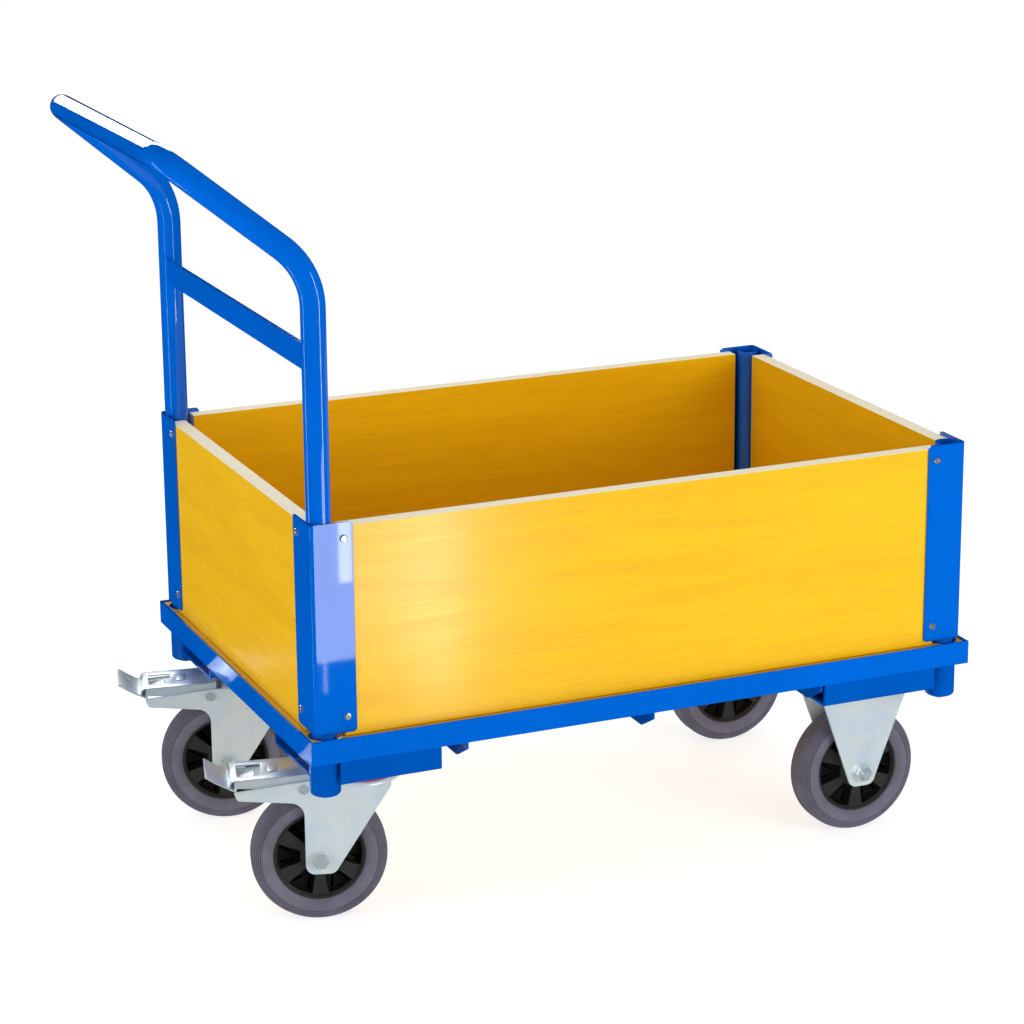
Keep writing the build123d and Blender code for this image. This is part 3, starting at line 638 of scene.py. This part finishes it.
CASTORS = ("swivel_front", "swivel_back", "fixed_front", "fixed_back")
for castor in CASTORS:
    for original in (tyre, rim):
        copy = copy_of(original, f"{castor}_{original.name}_detailed")
        copy.data.transform(wheel_matrix(castor))
        node = f"{castor}_{original.name}"
        shares = [face.material_index for face in copy.data.polygons]
        place(copy, node, *([finishes[slots[node]], pocket_plastic] if original is rim else ()))
        copy.data.polygons.foreach_set("material_index", shares)
for original in (tyre, rim):
    bpy.data.objects.remove(original)
print("wheels placed:", len(CASTORS))

# %% [markdown]
# ## Brake pedal treads
# A wide pressed sheet lies on each pedal's lever and ends in a raised foot plate. It is drawn as a strip:
# one plane whose outer edge is extruded along the pedal's side outline, then given its thickness. A window
# with a bent tongue and a small boss are pressed into it. The tread turns with the pedal's body. The side
# outline is in millimetres: X is measured from the kingpin, outwards being negative, and Z from the floor.

# %% Pedal tread
KINGPIN_FROM_PIN = 73 * MM
TREAD_HALF = 33 * MM
TREAD_SHEET = 2 * MM
TREAD_OUTLINE = (
    (-66, 199.3), (-100, 197.6), (-158, 195.6), (-161, 194.6), (-162.5, 192), (-163.5, 188.5),
    (-165, 187), (-168, 187.8), (-181, 195), (-193, 203),
)
WINDOW = (Vector((-139, 0, 195)) * MM, Vector((30, 38, 12)) * MM)
TONGUE = (Vector((-142, 0, 190.4)) * MM, Vector((21, 19, 1.5)) * MM, radians(20))
BOSS = (Vector((-110, 0, 197.4)) * MM, Vector((12, 26, 4)) * MM)


def block(name, centre, size, slope=0.0):
    bpy.ops.mesh.primitive_cube_add(size=1, location=centre, rotation=(0, -slope, 0), scale=size)
    return named(name)


def tread_sheet():
    """The strip along the outline, with its thickness, its window and its round corners."""
    (x0, z0), (x1, z1) = TREAD_OUTLINE[:2]
    bpy.ops.mesh.primitive_plane_add(size=1)
    sheet = named("tread")
    bpy.ops.object.mode_set(mode="EDIT")
    mesh = bmesh.from_edit_mesh(sheet.data)
    for corner in mesh.verts:
        x, z = (x0, z0) if corner.co.x > 0 else (x1, z1)
        corner.co = (x * MM, corner.co.y * 2 * TREAD_HALF, z * MM)
    bpy.ops.mesh.select_mode(type="EDGE")
    for (x1, z1), (x2, z2) in zip(TREAD_OUTLINE[1:], TREAD_OUTLINE[2:]):
        bpy.ops.mesh.select_all(action="DESELECT")
        for edge in mesh.edges:
            edge.select_set(all(abs(end.co.x - x1 * MM) < 1e-6 for end in edge.verts))
        bmesh.update_edit_mesh(sheet.data)
        step = ((x2 - x1) * MM, 0, (z2 - z1) * MM)
        bpy.ops.mesh.extrude_region_move(TRANSFORM_OT_translate={"value": step})
        mesh = bmesh.from_edit_mesh(sheet.data)
    bpy.ops.mesh.select_all(action="SELECT")
    bpy.ops.mesh.normals_make_consistent(inside=False)
    bpy.ops.object.mode_set(mode="OBJECT")
    thickness = sheet.modifiers.new("thickness", "SOLIDIFY")
    thickness.thickness = TREAD_SHEET
    thickness.offset = 0
    bpy.ops.object.modifier_apply(modifier=thickness.name)
    cutter = block("cutter", *WINDOW)
    only(sheet)
    window = sheet.modifiers.new("window", "BOOLEAN")
    window.object = cutter
    window.operation = "DIFFERENCE"
    window.solver = "EXACT"
    bpy.ops.object.modifier_apply(modifier=window.name)
    bpy.data.objects.remove(cutter)
    return sheet


tread = tread_sheet()
tongue = block("tongue", *TONGUE)
boss = block("boss", *BOSS)
for piece, width in ((tread, 0.5 * MM), (tongue, 0.4 * MM), (boss, 1.2 * MM)):
    round_edges(piece, width)
only(tread)
tongue.select_set(True)
boss.select_set(True)
bpy.ops.object.join()
for side in ("front", "back"):
    press = joints[f"brake_pedal_{side}_press"]
    axis = Vector(press["axis"])
    pin = Vector(press["pos_m"])
    turn = Matrix.Rotation(-atan2(-axis.x, -axis.y), 4, "Z")
    copy = copy_of(tread, f"pedal_tread_{side}")
    from_pin = turn @ Matrix.Translation((KINGPIN_FROM_PIN, 0, 0))
    copy.data.transform(Matrix.Translation((pin.x, pin.y, 0)) @ from_pin)
    paint(copy, tread_zinc)
    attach(copy, press["child"])
bpy.data.objects.remove(tread)
print("tread faces:", len(copy.data.polygons))

# %% [markdown]
# ## Bracket lips
# The outer wall of each swivel bracket reaches the socket beside it. The CAD stops it a little short, so a
# short block in line with the wall closes that gap. Its lower outer edge is bevelled in edit mode to the
# round fold that the bracket has.

# %% Bracket lips
NOTCH_END = 35 * MM
LIP_LENGTH = 10.5 * MM
LIP_OVERLAP = 2 * MM
LIP_FOLD = 3.2 * MM
LIP_INSET = Vector((0, 0.3, 0.3)) * MM
BRACKET_SHEET = 4 * MM
low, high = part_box("castor_brackets")
size = Vector((LIP_LENGTH + LIP_OVERLAP, BRACKET_SHEET, high.z - low.z))
for side, y in (("front", low.y), ("back", high.y - BRACKET_SHEET)):
    corner = Vector((low.x + NOTCH_END - LIP_LENGTH, y, low.z))
    lip = block(f"bracket_lip_{side}", corner + size / 2, size - LIP_INSET)
    bpy.ops.object.mode_set(mode="EDIT")
    bpy.ops.mesh.select_mode(type="EDGE")
    bpy.ops.mesh.select_all(action="DESELECT")
    mesh = bmesh.from_edit_mesh(lip.data)
    for edge in mesh.edges:
        spot = (edge.verts[0].co + edge.verts[1].co) / 2
        outside = abs(spot.y) > abs(y + BRACKET_SHEET / 2) + 1 * MM
        edge.select_set(outside and spot.z < low.z + 1 * MM)
    bmesh.update_edit_mesh(lip.data)
    bpy.ops.mesh.bevel(offset=LIP_FOLD, segments=5, affect="EDGES")
    bpy.ops.object.mode_set(mode="OBJECT")
    bpy.ops.object.shade_smooth_by_angle(angle=SMOOTH)
    # The lip gets the same painted shade as the other parts under the deck.
    paint(lip, under_paint)
    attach(lip, frame["nodes"]["castor_brackets"]["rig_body"])
print("bracket lip faces:", len(lip.data.polygons))

# %% [markdown]
# ## Studio
# A pale floor and a white sky light everything softly. Gloss is steered apart from that: the floor and
# the sky are left out of reflections, so the blue stays deep, and white cards stand where a highlight is
# wanted.

# %% Floor and sky
FLOOR_SIZE = 60
FLOOR_GLOW = 0.68
FLOOR_GREYS = (0.60, 0.60, 0.60), (0.63, 0.63, 0.63)
SKY_STRENGTH = 0.56
bpy.ops.mesh.primitive_plane_add(size=FLOOR_SIZE, location=(0, 0, 0))
floor = bpy.context.object
floor.name = "floor"
glow = {"Emission_Color": (1, 1, 1, 1), "Emission_Strength": FLOOR_GLOW}
material, shader, where = begin("floor", Roughness=1.0, **glow)
feed(shader, Base_Color=blend(noise(where, 2), *FLOOR_GREYS))
paint(floor, material)
floor.visible_glossy = False

world = bpy.data.worlds.new("studio")
bpy.context.scene.world = world
world.use_nodes = True
sky = world.node_tree.nodes["Background"]
sky.inputs["Color"].default_value = (1.0, 1.0, 1.0, 1)
sky.inputs["Strength"].default_value = SKY_STRENGTH
world.cycles_visibility.glossy = False
bpy.context.scene.view_settings.view_transform = "Standard"


# %% Lights
def softbox(name, spot, aim, width, height, brightness):
    """A rectangular lamp that faces its aim. It lights surfaces but shows in no reflection."""
    light = bpy.data.lights.new(name, "AREA")
    light.shape = "RECTANGLE"
    light.size, light.size_y = width, height
    light.energy = brightness * pi * width * height
    lamp = bpy.data.objects.new(name, light)
    bpy.context.scene.collection.objects.link(lamp)
    lamp.location = spot
    lamp.rotation_mode = "QUATERNION"
    lamp.rotation_quaternion = (Vector(aim) - Vector(spot)).to_track_quat("-Z", "Y")
    lamp.visible_camera = False
    lamp.visible_glossy = False
    return lamp


def card(*settings):
    """The reverse of a softbox: it lights nothing and only shows in reflections."""
    lamp = softbox(*settings)
    lamp.visible_diffuse = False
    lamp.visible_glossy = True


middle = (cad_low + cad_high) / 2
softbox("front", (1.6, -2.6, 0.9), middle, 1.6, 0.9, 8.0)
softbox("push_end", (-3.2, -0.6, 0.9), middle, 1.2, 0.9, 8.0)
softbox("top", (0.2, 0.4, 3.0), middle, 2.0, 1.4, 1.5)

# %% [markdown]
# ## Cards for the highlights
# A flat glossy face mirrors one direction only, so each card is found by following the view off the face.
# The grip card whitens the top of the grip. Three cards stand in front of the near corner cover: a wide one
# that also lightens the wall beside it, a bright core, and a sliver along the fold. The two strips draw the
# thin lines down the bow's legs.

# %% Cards
card("grip_card", (-0.2, 2.0, 1.80), (-0.5, 0, 0.97), 1.8, 0.95, 9)
card("wall_card", (-0.007, -1.0, 0.262), (-0.007, 0, 0.262), 0.234, 0.296, 6.5)
card("core_card", (-0.078, -0.97, 0.290), (-0.078, 0, 0.290), 0.020, 0.10, 10)
card("fold_card", (-0.109, -0.98, 0.10), (-0.109, 0, 0.10), 0.005, 0.05, 5)
card("right_strip", (-0.09, -0.60, 0.56), (-0.36, -0.24, 0.56), 0.032, 0.75, 15)
card("left_strip", (-1.0, 0.05, 0.45), (-0.38, -0.24, 0.45), 0.04, 0.8, 8)
